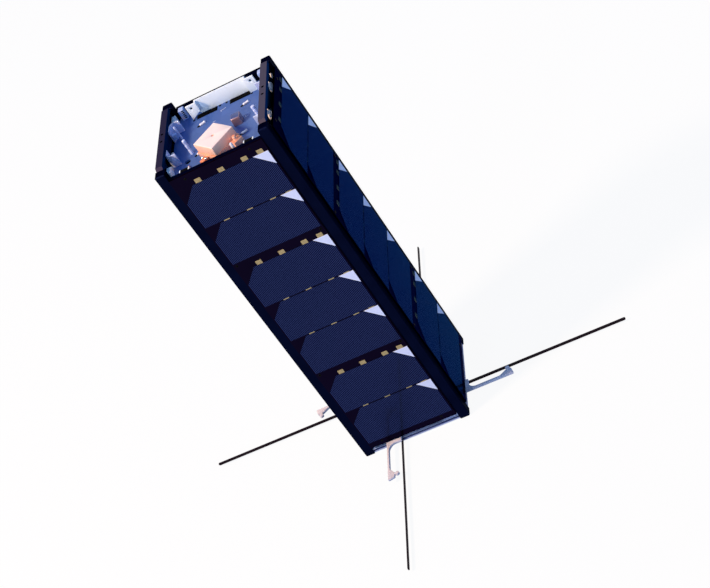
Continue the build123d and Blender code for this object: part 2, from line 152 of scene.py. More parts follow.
# %% Two tones in a cloud
def clouded(material, vector, spacing, dark, light, detail=2.0):
    """Two colours mixed by noise, whose puffs lie so many millimetres apart."""
    cloud = add(material, "ShaderNodeTexNoise", {"Scale": per_metre(spacing), "Detail": detail},
                {"Vector": vector})
    tone = add(material, "ShaderNodeMix",
               {"data_type": "RGBA", MIX_A: colour(dark), MIX_B: colour(light)}, {MIX_FACTOR: cloud})
    return cloud, tone


print("the Mix node's colour leaves by socket", MIX_COLOUR)

# %% [markdown]
# ## Black rails
# The side frames are machined from aluminium and hard anodised, then dyed black.  The oxide is a few
# hundredths of a millimetre thick and keeps the fine grit of bead blasting, so it looks satin and very
# dark, with a blue cast.  Underneath it is still metal, so its reflections keep that colour.  The bars
# across the payload end carry painted light: their tops are painted paler, as if lit from above, and
# paler still towards +X as a painted reflection, and their flanks are painted bluer, a painted blue
# light.  One material serves the whole frame, so the bars are found by where they lie and which way
# they look, rather than by painting their faces one by one.

# %% Where the bars' tops and flanks are
BAR_TOP_DEPTH, BAR_FLANK_DEPTH = 5, 12.5  # how far they reach down from the rails' end


def bar_masks(material, split, facing):
    """Masks for painted light on tops and flanks, each the product of tests on place and normal.

    The bars lie between the panels' sides, near the rails' end.  A top's normal points up.  A broken
    edge leans, and counts for a third.  A flank's normal lies along X.
    """
    bar_room = 0.2  # past the panels' sides
    upward = add(material, "ShaderNodeMapRange", {"From Min": 0.85, "From Max": 0.95, "To Min": 0.35},
                 {"Value": facing["Z"]})
    across = add(material, "ShaderNodeMath", {"operation": "ABSOLUTE"}, {0: split["Y"]})
    sideways = add(material, "ShaderNodeMath", {"operation": "ABSOLUTE"}, {0: facing["X"]})
    tests = {"not steep": ("GREATER_THAN", 0.5, facing["Z"]),
             "between": ("LESS_THAN", (half_panel + bar_room) * MM, across),
             "at the top": ("GREATER_THAN", (rail_top - BAR_TOP_DEPTH) * MM, split["Z"]),
             "on the bar": ("GREATER_THAN", (rail_top - BAR_FLANK_DEPTH) * MM, split["Z"]),
             "flank": ("GREATER_THAN", 0.9, sideways)}
    passed = {name: add(material, "ShaderNodeMath", {"operation": operation, 1: limit}, {0: value})
              for name, (operation, limit, value) in tests.items()}
    masks = []
    for mask, *names in ((upward, "not steep", "between", "at the top"),
                         (passed["flank"], "between", "on the bar")):
        for name in names:
            mask = add(material, "ShaderNodeMath", {"operation": "MULTIPLY"},
                       {0: mask, 1: passed[name]})
        masks.append(mask)
    return masks


print(f"the bars lie above {rail_top - BAR_FLANK_DEPTH:.1f} mm")

# %% [markdown]
# Corners catch the light.  The Bevel node rounds the shading there by a few tenths of a millimetre and
# leaves the solid as it is, which is enough for edges that are a pixel or two wide.

# %% Hard-anodised aluminium
def hard_anodised():
    """Dyed hard anodising: blue-black satin metal, with painted light on the bars' tops and flanks."""
    grit = 0.35  # real grit is nearer 0.05 mm and would not show
    edge_radius = 0.35
    material, shader, place = new_material("hard_anodised_aluminium", Metallic=1.0,
                                           Specular_Tint=colour("A0A5AA"))
    split = add(material, "ShaderNodeSeparateXYZ", None, {"Vector": place["Object"]}).outputs
    facing = add(material, "ShaderNodeSeparateXYZ", None, {"Vector": place["Normal"]}).outputs
    tops, flanks = bar_masks(material, split, facing)
    dye = clouded(material, place["Object"], 14, "04071B", "080E2A", 3.0)[1]
    # Painted light on the bar tops: paler than the frame, and paler still towards +X, a painted
    # reflection.
    painted_reflection_share = add(material, "ShaderNodeMapRange",
               {"From Min": -half_panel * MM, "From Max": half_panel * MM}, {"Value": split["X"]})
    painted_top_light = add(material, "ShaderNodeMix",
                 {"data_type": "RGBA", MIX_A: colour("38334A"), MIX_B: colour("575164")},
                 {MIX_FACTOR: painted_reflection_share})
    # Painted blue light on the bar flanks.
    painted_blue_flank_light = add(material, "ShaderNodeMix", {"data_type": "RGBA", MIX_B: colour("04305C")},
                {MIX_FACTOR: flanks, MIX_A: dye})
    tone = add(material, "ShaderNodeMix", {"data_type": "RGBA"},
               {MIX_FACTOR: tops, MIX_A: painted_blue_flank_light, MIX_B: painted_top_light})
    grain = add(material, "ShaderNodeTexNoise", {"Scale": per_metre(grit), "Detail": 2.0},
                {"Vector": place["Object"]})
    rough = add(material, "ShaderNodeMapRange", {"To Min": 0.34, "To Max": 0.5}, {"Value": grain})
    round_edge = add(material, "ShaderNodeBevel", {"samples": 4, "Radius": edge_radius * MM})
    bump = add(material, "ShaderNodeBump", {"Strength": 0.25, "Distance": 0.02 * MM},
               {"Height": grain, "Normal": round_edge})
    join(shader, Base_Color=tone, Roughness=rough, Normal=bump)
    return material


finish["black_anodised"] = hard_anodised()
print("made", finish["black_anodised"].name)

# %% [markdown]
# ## Solar cells
# Each cell is a wafer a quarter of a millimetre thick under a cover glass with an anti-reflection coat.
# The coat swallows nearly all light, so the cell is a deep blue mirror.  Silver fingers as fine as hair
# run up the wafer, 1.05 mm apart, and gather its current.  They give the cells their fine shimmer.
# They could be modelled, but thousands of hairs would be thinner than a pixel, so they are stripes of
# paint here.  A side's cells lie along X or along Y, so the sum X + Y counts the fingers on all four.

# %% Cells under cover glass
def solar_cell():
    """Deep blue coated wafer with silver fingers: a saw-tooth of X + Y, cut to thin stripes."""
    finger_pitch = 1.25  # really 1.05 mm, which would beat with the pixels of a render
    finger_share = 0.33  # really a tenth: drawn wider and much darker than silver, so that it shows
    material, shader, place = new_material("coated_solar_cell", Metallic=1.0,
                                           Specular_Tint=colour("98A7B6"))
    split = add(material, "ShaderNodeSeparateXYZ", None, {"Vector": place["Object"]}).outputs
    along = add(material, "ShaderNodeMath", {"operation": "ADD"}, {0: split["X"], 1: split["Y"]})
    steps = add(material, "ShaderNodeMath", {"operation": "MULTIPLY", 1: per_metre(finger_pitch)},
                {0: along})
    phase = add(material, "ShaderNodeMath", {"operation": "FRACT"}, {0: steps})
    finger = add(material, "ShaderNodeMath", {"operation": "LESS_THAN", 1: finger_share}, {0: phase})
    wafer = clouded(material, place["Object"], 30, "020526", "04092B")[1]
    lined = add(material, "ShaderNodeMix", {"data_type": "RGBA", MIX_B: colour("323D6D")},
                {MIX_FACTOR: finger, MIX_A: wafer})
    rough = add(material, "ShaderNodeMapRange", {"To Min": 0.08, "To Max": 0.3}, {"Value": finger})
    join(shader, Base_Color=lined, Roughness=rough)
    return material


finish["solar_cell"] = solar_cell()
print("made", finish["solar_cell"].name)

# %% [markdown]
# ## Panel boards, diodes and tabs
# The cells are glued to a circuit board with black solder mask over copper.  The mask is a glossy
# epoxy, and it dips a little between the copper strips below it.  Its cut edges show the tan glass
# fibre laminate.  They look up or down, so the normal alone tells them from the faces.

# %% Black board
def panel_board():
    """Black solder mask over copper strips, which are slow waves along Z, and tan at the cut edges."""
    strip_pitch = 25.13
    wave_period = 2 * np.pi / 20  # the Wave node repeats 20 / (2 pi) times in each unit of its scale
    material, shader, place = new_material("black_solder_mask", Metallic=1.0, Roughness=0.2,
                                           Specular_Tint=colour("8A94AC"))
    facing = add(material, "ShaderNodeSeparateXYZ", None, {"Vector": place["Normal"]}).outputs
    upright = add(material, "ShaderNodeMath", {"operation": "ABSOLUTE"}, {0: facing["Z"]})
    edge = add(material, "ShaderNodeMath", {"operation": "GREATER_THAN", 1: 0.5}, {0: upright})
    mask = clouded(material, place["Object"], 25, "0B0718", "100A20")[1]
    tone = add(material, "ShaderNodeMix", {"data_type": "RGBA", MIX_B: colour("2A1C1A")},
               {MIX_FACTOR: edge, MIX_A: mask})
    strips = add(material, "ShaderNodeTexWave",
                 {"Scale": per_metre(strip_pitch) * wave_period, "bands_direction": "Z",
                  "Distortion": 3.0, "Detail": 1.0}, {"Vector": place["Object"]})
    bump = add(material, "ShaderNodeBump", {"Strength": 0.15, "Distance": 0.03 * MM},
               {"Height": strips.outputs["Fac"]})
    join(shader, Base_Color=tone, Normal=bump)
    return material


finish["panel_board"] = panel_board()
print("made", finish["panel_board"].name)

# %% [markdown]
# A pale silicon diode fills one cropped corner of each cell.  It carries the current past a cell that
# lies in shade.  Gold-plated tabs join one cell to the next.  Gold foil is rolled, so fine lines run
# along it.  Where it is seen at a glancing angle it is painted darker and green, a painted shade for
# the sides that lie in shade.

# %% Diodes and tabs
def bypass_diode():
    """Pale silicon under glass: even blue-white with a soft cloud."""
    material, shader, place = new_material("silicon_diode", Roughness=0.3, Specular_IOR_Level=0.05)
    tone = clouded(material, place["Object"], 6, "E4E7F6", "EEF0FA")[1]
    join(shader, Base_Color=tone)
    return material


def cell_tab():
    """Gold-plated foil: rolling lines along the strip, drawn 0.4 mm apart, in colour and roughness."""
    rolling = (0.1, 0.1, 1.0)  # the lines are ten times longer than their spacing
    material, shader, place = new_material("gold_plated_tab", Specular_IOR_Level=0.0)
    stretched = add(material, "ShaderNodeMapping", {"Scale": rolling}, {"Vector": place["Object"]})
    lines, tone = clouded(material, stretched, 0.4, "A9925F", "C7B079", 1.0)
    # Painted shade: tabs seen at a glancing angle are painted darker and green.
    slant = add(material, "ShaderNodeLayerWeight", {"Blend": 0.5})
    glancing = add(material, "ShaderNodeMapRange", {"From Min": 0.4, "From Max": 0.65},
                   {"Value": slant.outputs["Facing"]})
    painted_glancing_shade = add(material, "ShaderNodeMix", {"data_type": "RGBA", MIX_B: colour("1C3A42")},
               {MIX_FACTOR: glancing, MIX_A: tone})
    rough = add(material, "ShaderNodeMapRange", {"To Min": 0.35, "To Max": 0.5}, {"Value": lines})
    join(shader, Base_Color=painted_glancing_shade, Roughness=rough)
    return material


finish["bypass_diode"] = bypass_diode()
finish["cell_tab"] = cell_tab()
print("made", len(finish), "finishes")

# %% [markdown]
# ## Bright metals and nylons
# The bright metals share one recipe: a base tone with a soft cloud, and a fine bump from how the metal
# was made.  Rolling and turning draw that grain out along one axis.  Nylon spacers and clips are smooth
# and only a little glossy, and the same recipe serves them without metal.

# %% A satin metal
def satin_metal(name, dark, light, metallic, roughness, grain, stretch=(1, 1, 1), gloss=0.5):
    """A clouded metal or plastic with grain of a given size, stretched along an axis."""
    grain_play = 0.06  # how far the grain moves the roughness, up and down
    material, shader, place = new_material(name, Metallic=metallic, Specular_IOR_Level=gloss)
    tone = clouded(material, place["Object"], 9, dark, light)[1]
    stretched = add(material, "ShaderNodeMapping", {"Scale": stretch}, {"Vector": place["Object"]})
    grit = add(material, "ShaderNodeTexNoise", {"Scale": per_metre(grain), "Detail": 2.0},
               {"Vector": stretched})
    rough = add(material, "ShaderNodeMapRange",
                {"To Min": roughness - grain_play, "To Max": roughness + grain_play}, {"Value": grit})
    bump = add(material, "ShaderNodeBump", {"Strength": 0.03, "Distance": 0.01 * MM}, {"Height": grit})
    join(shader, Base_Color=tone, Roughness=rough, Normal=bump)
    return material, shader, place, tone


ROLLED, TURNED = (1, 1, 0.1), (1, 1, 4)  # grain along the height, and rings across it
metals = {
    # milky satin, from a clear oxide
    "clear_anodised": ("clear_anodised_aluminium", "D8D0D4", "DED6D8", 0.0, 0.5, 0.3, (1, 1, 1), 0.1),
    # the soft sheen of rolled sheet
    "bare_aluminium": ("folded_aluminium_sheet", "EAF8FF", "F0FCFF", 0.0, 0.38, 0.3, ROLLED),
    # bright rings from the lathe
    "steel_fastener": ("turned_stainless_steel", "B9BCC8", "D2D4DC", 1.0, 0.25, 0.25, TURNED),
    # brown-black oxide from tempering
    "antenna_tape": ("blued_spring_steel", "140810", "200E18", 0.0, 0.4, 0.5, (1, 1, 1), 0.05),
    # buffed sheet, painted bluish: a painted reflection of the blue room
    "polished_sheet": ("polished_aluminium_sheet", "C4D2F8", "D8E2FF", 0.25, 0.2, 0.3, ROLLED),
    # smooth moulded nylons, dyed or plain, and a clip of plated steel
    "pale_nylon": ("pale_blue_nylon", "A4BEF0", "B6CCF8", 0.0, 0.45, 0.4),
    "pale_clip": ("pale_clip_steel", "DCE2F4", "F0F0F8", 0.2, 0.3, 0.4),
    "blue_nylon": ("blue_white_nylon", "C0D0FA", "D2DEFF", 0.0, 0.4, 0.4),
    "cream_nylon": ("cream_nylon", "FFF0E4", "FFF8F0", 0.0, 0.4, 0.4),
    "white_nylon": ("white_nylon", "E2DCE4", "F0E8EC", 0.0, 0.4, 0.4)}
for finish_name, recipe in metals.items():
    finish[finish_name] = satin_metal(*recipe)[0]
print("made", len(finish), "finishes")

# %% [markdown]
# The sensor's chromate coat is warm and pink, and where it looks up it is painted paler, a painted
# highlight of the light from above.  The base under it is salmon, and its top is painted a deeper
# salmon, a painted shadow of the sensor.  A tinned can has a dark blue top, a painted reflection of the
# dark sky.  Each mixes in a second colour where the surface looks up, so that no face has to be
# painted by hand.

# %% Coats with painted light or shade where they look up
def painted_top_shading(name, dark, light, top, metallic, roughness):
    """A satin metal with painted light or shade where it looks up: a mix by the surface's own normal."""
    material, shader, place, tone = satin_metal(name, dark, light, metallic, roughness, 0.25)
    facing = add(material, "ShaderNodeSeparateXYZ", None, {"Vector": place["Normal"]}).outputs
    upward = add(material, "ShaderNodeMapRange", {"From Min": 0.6, "From Max": 0.95},
                 {"Value": facing["Z"]})
    mixed = add(material, "ShaderNodeMix", {"data_type": "RGBA", MIX_B: colour(top)},
                {MIX_FACTOR: upward, MIX_A: tone})
    join(shader, Base_Color=mixed)
    return material


# Painted highlight on the sensor's top, painted shadow on the base's top, painted reflection on the
# can's.
finish["sensor_metal"] = painted_top_shading("chromated_aluminium", "FFCCB2", "FFD4BC", "F8E6E0", 0.1, 0.5)
finish["salmon_coat"] = painted_top_shading("salmon_chromate", "FCBCA0", "FFC8B0", "EC9E7C", 0.1, 0.5)
finish["tinned_can"] = painted_top_shading("tinned_steel", "A88C96", "BFA0A4", "3A4A86", 0.6, 0.2)
print("made", len(finish), "finishes")

# %% [markdown]
# The antenna module is milled from one block.  Its ledge is left bright.  The step under it is painted
# dark blue, a painted shade in the recess, and the skirt below is painted paler towards the floor, a
# painted reflection of the white floor.  One colour ramp along the height holds all three.

# %% The antenna module's bands
def module_finish():
    """Bands of colour up the module: a ramp of the height, from the floor to a little over the ledge."""
    low, high = 0.6, 5.2  # heights at which the ramp starts and ends
    # Painted reflection of the floor in the pale low bands, and painted shade in the dark blue step.
    bands = ((0.8, "FFFFFF"), (1.6, "C8CEE4"), (2.5, "7C8AB4"), (3.6, "34467C"), (4.0, "101C4C"),
             (4.7, "101C4C"), (4.85, "E8EEFF"))  # height and colour
    material, shader, place, tone = satin_metal("milled_module", "FFFFFF", "F4F6FF", 0.2, 0.35, 0.3,
                                                gloss=0.2)
    split = add(material, "ShaderNodeSeparateXYZ", None, {"Vector": place["Object"]}).outputs
    share = add(material, "ShaderNodeMapRange", {"From Min": low * MM, "From Max": high * MM},
                {"Value": split["Z"]})
    ramp = add(material, "ShaderNodeValToRGB", None, {"Fac": share})
    stops = ramp.color_ramp.elements
    stops.remove(stops[1])
    for index, (height, code) in enumerate(bands):
        position = (height - low) / (high - low)
        stop = stops[0] if index == 0 else stops.new(position)
        stop.position = position
        stop.color = colour(code)
    tinted = add(material, "ShaderNodeMix",
                 {"data_type": "RGBA", "blend_type": "MULTIPLY", MIX_FACTOR: 1.0},
                 {MIX_A: tone, MIX_B: ramp})
    join(shader, Base_Color=tinted)
    return material


finish["milled_module"] = module_finish()
print("made", finish["milled_module"].name)

# %% [markdown]
# ## Blue deck board and black plastic
# The payload deck is a circuit board with blue solder mask.  Copper pours under the mask make broad
# fields that are a shade lighter, and the glass weave barely shows.

# %% Deck board
def deck_board():
    """Blue solder mask: square-edged Voronoi cells as copper pours, and the weave in the bump."""
    pour_size, weave_pitch = 16, 0.6
    material, shader, place = new_material("blue_solder_mask", Roughness=0.32, Specular_IOR_Level=0.2)
    pours = add(material, "ShaderNodeTexVoronoi",
                {"Scale": per_metre(pour_size), "distance": "CHEBYCHEV"}, {"Vector": place["Object"]})
    tone = add(material, "ShaderNodeMix",
               {"data_type": "RGBA", MIX_A: colour("3A5A9C"), MIX_B: colour("4668AC")},
               {MIX_FACTOR: pours.outputs["Color"]})
    weave = add(material, "ShaderNodeTexChecker", {"Scale": per_metre(weave_pitch)},
                {"Vector": place["Object"]})
    bump = add(material, "ShaderNodeBump", {"Strength": 0.1, "Distance": 0.02 * MM},
               {"Height": weave.outputs["Fac"]})
    join(shader, Base_Color=tone, Normal=bump)
    return material


finish["deck_board"] = deck_board()
print("made", finish["deck_board"].name)

# %% [markdown]
# The headers are black glass-filled plastic with a matt, slightly mottled skin.  Potted boards, oxide on
# small screws, printed ink and cast resin are mottled in the same way, so they share the recipe.

# %% Plastics, oxide, ink and resin
def mottled(name, dark, light, roughness, gloss=0.3):
    """A moulded or painted skin: two close tones in a cloud of 2 mm, and the same cloud in the bump."""
    material, shader, place = new_material(name, Roughness=roughness, Specular_IOR_Level=gloss)
    cloud, tone = clouded(material, place["Object"], 2, dark, light, 4.0)
    bump = add(material, "ShaderNodeBump", {"Strength": 0.1, "Distance": 0.05 * MM}, {"Height": cloud})
    join(shader, Base_Color=tone, Normal=bump)
    return material


finish["black_plastic"] = mottled("glass_filled_plastic", "020203", "050507", 0.6, 0.02)
finish["stack_board"] = mottled("potted_electronics", "0C1016", "141A22", 0.6)
finish["black_oxide"] = mottled("black_oxide_steel", "030305", "060609", 0.5, 0.05)
finish["white_ink"] = mottled("white_ink", "C9D2E8", "DDE4F4", 0.6)
finish["orange_resin"] = mottled("orange_resin", "E4845A", "F09A6C", 0.4)
print("made", len(finish), "finishes")

# %% [markdown]
# ## Dressing the solids
# Each solid has a slot in the record that names its finish.  Here only the antenna module gets a finish
# of its own, because its bands are cut by height and not by solid.

# %% Dress the solids
slot_of = {sub["node"]: sub["material_slot"] for sub in frame["record"]["subparts"]}
finish_of = {**slot_of, "antenna_housing": "milled_module"}
for node_name, finish_name in finish_of.items():
    materials = frame["nodes"][node_name].data.materials
    materials.clear()
    materials.append(finish[finish_name])
print("dressed", len(finish_of), "solids")

# %% [markdown]
# ## Making surfaces
# A small piece is a surface over a grid of two parameters: rings of points, each joined to the next.
# It could be put together from Blender's own cylinders and cubes, but a table of sizes is shorter and
# easier to change.  numpy works out all points at once.  Several surfaces can share a mesh: their points
# are stacked, and each one's corner numbers are shifted past those before it.

# %% Faces between rings
def ring_faces(rows, columns, ends=True):
    """Faces of a stack of rings: quads whose last column joins the first, and flat ends if wanted."""
    row = np.arange(rows - 1)[:, None] * columns
    column = np.arange(columns)[None, :]
    following = (column + 1) % columns
    corners = (row + column, row + following, row + columns + following, row + columns + column)
    faces = list(np.stack(corners, -1).reshape(-1, 4))
    if ends:
        faces += [range(columns)[::-1], range((rows - 1) * columns, rows * columns)]
    return faces


print("a box has", len(ring_faces(2, 4)), "faces")

# %% [markdown]
# A mesh becomes a piece of the satellite once it is linked to the scene and rides on a body.  Shading is
# smooth across gentle bends and sharp across edges of over 35 degrees.

# %% From a mesh to a piece
SMOOTH_ANGLE = radians(35)


def add_object(name, data):
    """A linked object that shows a mesh, a lamp or a camera."""
    thing = bpy.data.objects.new(name, data)
    bpy.context.scene.collection.objects.link(thing)
    return thing


def add_piece(name, mesh, body):
    """An object that rides on a body."""
    piece = add_object(name, mesh)
    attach(piece, body)
    return piece


def make_piece(name, surfaces, slot_name, finish_name=None):
    """One fixed piece from surfaces, each a pair of points in millimetres and faces.

    Doubles are merged, and normals are worked out outwards.  The finish is the slot's, unless another
    is named.
    """
    mesh = bpy.data.meshes.new(name)
    starts = np.cumsum([0] + [len(points) for points, faces in surfaces])
    vertices = np.concatenate([points for points, faces in surfaces]) * MM
    faces = [tuple(int(corner + start) for corner in face)
             for start, (points, own_faces) in zip(starts, surfaces) for face in own_faces]
    mesh.from_pydata(vertices.tolist(), [], faces)
    shape = bmesh.new()
    shape.from_mesh(mesh)
    bmesh.ops.remove_doubles(shape, verts=shape.verts, dist=0.002 * MM)
    bmesh.ops.recalc_face_normals(shape, faces=shape.faces)
    shape.to_mesh(mesh)
    shape.free()
    mesh.shade_smooth()
    mesh.set_sharp_from_angle(angle=SMOOTH_ANGLE)
    mesh.materials.append(finish[finish_name or slot_name])
    print(f"{name}: {len(mesh.polygons)} faces")
    return add_piece(name, mesh, BODY)


print("edges of over", round(np.degrees(SMOOTH_ANGLE)), "degrees stay sharp")

# %% [markdown]
# The satellite's four sides are alike.  So a shape is worked out once, as distances along a side, out
# of it and up, and then turned to each side.

# %% Turned and raised surfaces
def on_side(turn, points):
    """Turn points given as (along the side, out of it, up) to the satellite's own axes."""
    angle = radians(turn)
    along = np.array([np.cos(angle), np.sin(angle), 0])
    outward = np.array([np.sin(angle), -np.cos(angle), 0])
    return points[..., :1] * along + points[..., 1:2] * outward + points[..., 2:] * np.array([0, 0, 1])


def turned(profile, centre=(0, 0, 0), axis=(0, 0, 1), steps=24):
    """A profile of (radius, height, sides) turned about an axis.

    Where sides is 0 the ring is round.  Otherwise it is a regular polygon, whose radius at angle t is
    the flat's distance over cos of the angle to the nearest flat's middle.
    """
    radius, height, sides = np.array(profile, float).T[:, :, None]
    turn = np.linspace(0, 2 * np.pi, steps, endpoint=False)[None, :]
    sector = 2 * np.pi / np.where(sides == 0, 1, sides)
    polygon = 1 / np.cos((turn + sector / 2) % sector - sector / 2)
    reach = radius * np.where(sides == 0, 1, polygon)
    axis = np.array(axis, float)
    first = np.cross(axis, (0.0, 1.0, 0.0) if abs(axis[2]) > 0.5 else (0.0, 0.0, 1.0))
    second = np.cross(axis, first)
    points = (reach * np.cos(turn))[..., None] * first + (reach * np.sin(turn))[..., None] * second
    points = points + (height + 0 * turn)[..., None] * axis + np.array(centre, float)
    return points.reshape(-1, 3), ring_faces(len(profile), steps, ends=False)


def raised(outline, levels, ends=True):
    """An outline carried upward: one ring for each (inset, height), with flat ends if wanted.

    A corner moves in along the mean of its two edges' normals, divided by the cosine of half the
    turn, so that every edge moves in by the same distance.
    """
    edge = np.roll(outline, -1, 0) - outline
    normal = np.stack([-edge[:, 1], edge[:, 0]], 1) / np.linalg.norm(edge, axis=1)[:, None]
    before = np.roll(normal, 1, 0)
    inward = (before + normal) / (1 + (before * normal).sum(1))[:, None]
    inset, height = np.array(levels, float).T[:, :, None]
    rings = outline[None] + inset[..., None] * inward[None]
    points = np.concatenate([rings, np.broadcast_to(height[..., None], rings[..., :1].shape)], -1)
    return points.reshape(-1, 3), ring_faces(len(levels), len(outline), ends)


print("out of the front is", on_side(0, np.array((0.0, 1.0, 0.0))))

# %% Outlines and blocks
def placed(points, turn, centre):
    """Flat points turned anticlockwise by some degrees, then moved to a centre."""
    angle = radians(turn)
    spin = np.array([(np.cos(angle), np.sin(angle)), (-np.sin(angle), np.cos(angle))])
    return points @ spin + np.array(centre)


def rectangle(centre, size, turn=0.0):
    """The four corners of a rectangle, anticlockwise."""
    return placed(np.array([(-1, -1), (1, -1), (1, 1), (-1, 1)]) / 2 * np.array(size), turn, centre)


def stadium(centre, length, width, turn=0.0, steps=12):
    """A slot's outline: two half circles, their centres length - width apart."""
    arc = np.linspace(-np.pi / 2, np.pi / 2, steps)
    cap = np.stack([np.cos(arc), np.sin(arc)], 1) * width / 2 + ((length - width) / 2, 0)
    return placed(np.concatenate([cap, -cap]), turn, centre)


def block(centre, size, base, height, edge, turn=0.0):
    """A rectangular block whose upper edges are broken by a small chamfer."""
    levels = ((0, base), (0, base + height - edge), (edge, base + height))
    return raised(rectangle(centre, size, turn), levels)


print("a slot's outline has", len(stadium((0, 0), 8, 3)), "corners")

# %% [markdown]
# ## Softened copies of the bright parts
# A solid's edges are knife sharp, and no real edge is.  The pieces that catch the eye are copied, their
# loose triangles are merged, flat faces are joined again, and a Bevel modifier breaks each edge by a
# fifth of a millimetre or so.  Each copy stands in for its solid and moves with the same body, and four
# of them also get a finish that is nearer to the real piece than their slot's.

# %% Break the edges
def soften(name, width, finish_name=None):
    """A copy of a solid with broken edges, which replaces it, in its own finish or another."""
    mesh = frame["nodes"][name].data.copy()
    if finish_name:
        mesh.materials.clear()
        mesh.materials.append(finish[finish_name])
    shape = bmesh.new()
    shape.from_mesh(mesh)
    bmesh.ops.remove_doubles(shape, verts=shape.verts, dist=0.001 * MM)
    bmesh.ops.dissolve_limit(shape, angle_limit=radians(1), verts=shape.verts, edges=shape.edges)
    shape.to_mesh(mesh)
    shape.free()
    mesh.shade_smooth()
    body = next(body for body, nodes in frame["record"]["behaviour"]["bodies"].items() if name in nodes)
    piece = add_piece(name + "_softened", mesh, body)
    bevel = piece.modifiers.new("broken_edges", "BEVEL")
    bevel.width = width * MM
    bevel.segments = 2
    bevel.limit_method = "ANGLE"
    bevel.angle_limit = radians(30)
    bevel.harden_normals = True
    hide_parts(name)


softened = [("sensor_housing", 0.3), ("bay_wall", 0.15), ("deck_blocks", 0.15)]
softened += [(f"arm_{side}", 0.2) for side, turn in SIDES]
softened += [("bay_brackets_left", 0.2, "polished_sheet"), ("bay_brackets_right", 0.2, "polished_sheet"),
             ("filter_can", 0.2, "tinned_can"), ("sensor_base", 0.2, "salmon_coat")]
for recipe in softened:
    soften(*recipe)
print("softened", len(softened), "solids")

# %% [markdown]
# ## Panel screws
# Small black socket screws hold each panel to the frame: one near each corner, and one at each end of
# the two bars behind the gaps between cell groups.  A screw's head could be a cylinder with a socket cut
# out of it.  Here one profile turned about its axis draws it all: a low dome, a rim, and a six-sided
# socket that goes down again.

# %% Where the cells and the screws are
corner_screw = (28.6, 3.7)  # from the middle of the side, and from the panel's end
edge_screw_inset = 3.15  # from the panel's side
cell_height, cell_gap, group_gap = 40.5, 1.1, 9.8
cell_groups = (2, 3, 2)  # cells in each group, from the top
bar_rise = 6.8  # of the bars above the first cell of each later group

cell_tops, group_tops, next_top = [], [], cells_high[2]
for count in cell_groups:
    group_tops.append(next_top)
    cell_tops += [next_top - index * (cell_height + cell_gap) for index in range(count)]
    next_top = cell_tops[-1] - cell_height - group_gap

screw_heights = (panel_low[2] + corner_screw[1], panel_high[2] - corner_screw[1])
screw_places = [(x, height) for x in (-corner_screw[0], corner_screw[0]) for height in screw_heights]
screw_places += [(x * (half_panel - edge_screw_inset), top + bar_rise)
                 for x in (-1, 1) for top in group_tops[1:]]
print(len(cell_tops), "cells and", len(screw_places), "screws on each side")

# %% Panel screws
def socket_head(radius, rim, crown, top, socket, floor, base=0.0, taper=0.0):
    """Profile of a head: up its side to the rim, in to the crown, and down its socket to the floor."""
    return ((0, base, 0), (radius, base, 0), (radius, rim, 0), (crown, top, 0),
            (socket + taper, top, 6), (socket, floor, 6), (0, floor, 0))


def turned_out(turn, profile, places, out, steps):
    """A profile turned about an axis that points out of a side, at each place along it and up."""
    outward = on_side(turn, np.array((0.0, 1.0, 0.0)))
    return [turned(profile, on_side(turn, np.array((x, out, height))), outward, steps)
            for x, height in places]


panel_screw = socket_head(1.15, 0.1, 0.95, 0.28, 0.6, 0.0, base=-0.12, taper=0.02)
for side, turn in SIDES:
    screws = turned_out(turn, panel_screw, screw_places, panel_face, 18)
    make_piece(f"panel_screws_{side}", screws, "black_plastic", "black_oxide")

# %% [markdown]
# ## Tabs and their welds
# Each tab is a strip of foil with clipped corners.  Its edges are pressed down onto the board, so its
# outline shrinks a little on the way up.  The tabs at the head of each group are welded down by fine
# electrodes, which leave rows of tiny domed spots.

# %% Foil tabs
tab_places = (-20.75, -0.05, 20.65, 34.4)  # the middles of the tabs, along the side
tab_size = (5.2, 4.2)
tab_drop = 0.3  # a tab's lower edge is this far under the head of its cell
tab_face = panel_face + 0.12
corner_cut = 0.3
half_tab = np.array(tab_size) / 2
# Side of each corner in x and y, and whether it is cut in x or in y.
tab_corners = np.array([(-1, -1, 1, 0), (1, -1, 1, 0), (1, -1, 0, 1), (1, 1, 0, 1),
                        (1, 1, 1, 0), (-1, 1, 1, 0), (-1, 1, 0, 1), (-1, -1, 0, 1)])
tab_outline = tab_corners[:, :2] * (half_tab - corner_cut * tab_corners[:, 2:])
tab_levels = ((0, panel_face), (0, tab_face - 0.04), (0.05, tab_face))


def tab(turn, x, height):
    """A foil tab on one side: an eight-cornered outline carried outward, then stood upright."""
    points, faces = raised(tab_outline + (x, 0), tab_levels)
    return on_side(turn, points[:, [0, 2, 1]] + (0, 0, height)), faces


for side, turn in SIDES:
    tabs = [tab(turn, x, top - tab_drop + half_tab[1]) for top in cell_tops for x in tab_places]
    foil = make_piece(f"foil_tabs_{side}", tabs, "cell_tab")
    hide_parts(f"tabs_{side}")

# %% Weld marks on the tabs
weld_columns, weld_rows = (-1.8, -0.6, 0.6, 1.8), (0.7, 1.8, 2.9)
weld_profile = ((0, 0.09, 0), (0.18, 0.07, 0), (0.32, 0.0, 0), (0.32, -0.05, 0), (0, -0.05, 0))
weld_places = [(x + dx, top + dz) for top in group_tops for x in tab_places
               for dx in weld_columns for dz in weld_rows]
for side, turn in SIDES:
    make_piece(f"tab_welds_{side}", turned_out(turn, weld_profile, weld_places, tab_face, 8), "cell_tab")

# %% [markdown]
# ## Tape antennas
# Each antenna is a strip of spring steel with a curved section, like the blade of a tape measure, which
# keeps it straight once it has unrolled.  A bent plane would have no thickness, so the section is a
# closed ring carried outward: across the strip its two skins bulge by the same parabola, and at the tip
# the width shrinks along a quarter circle.

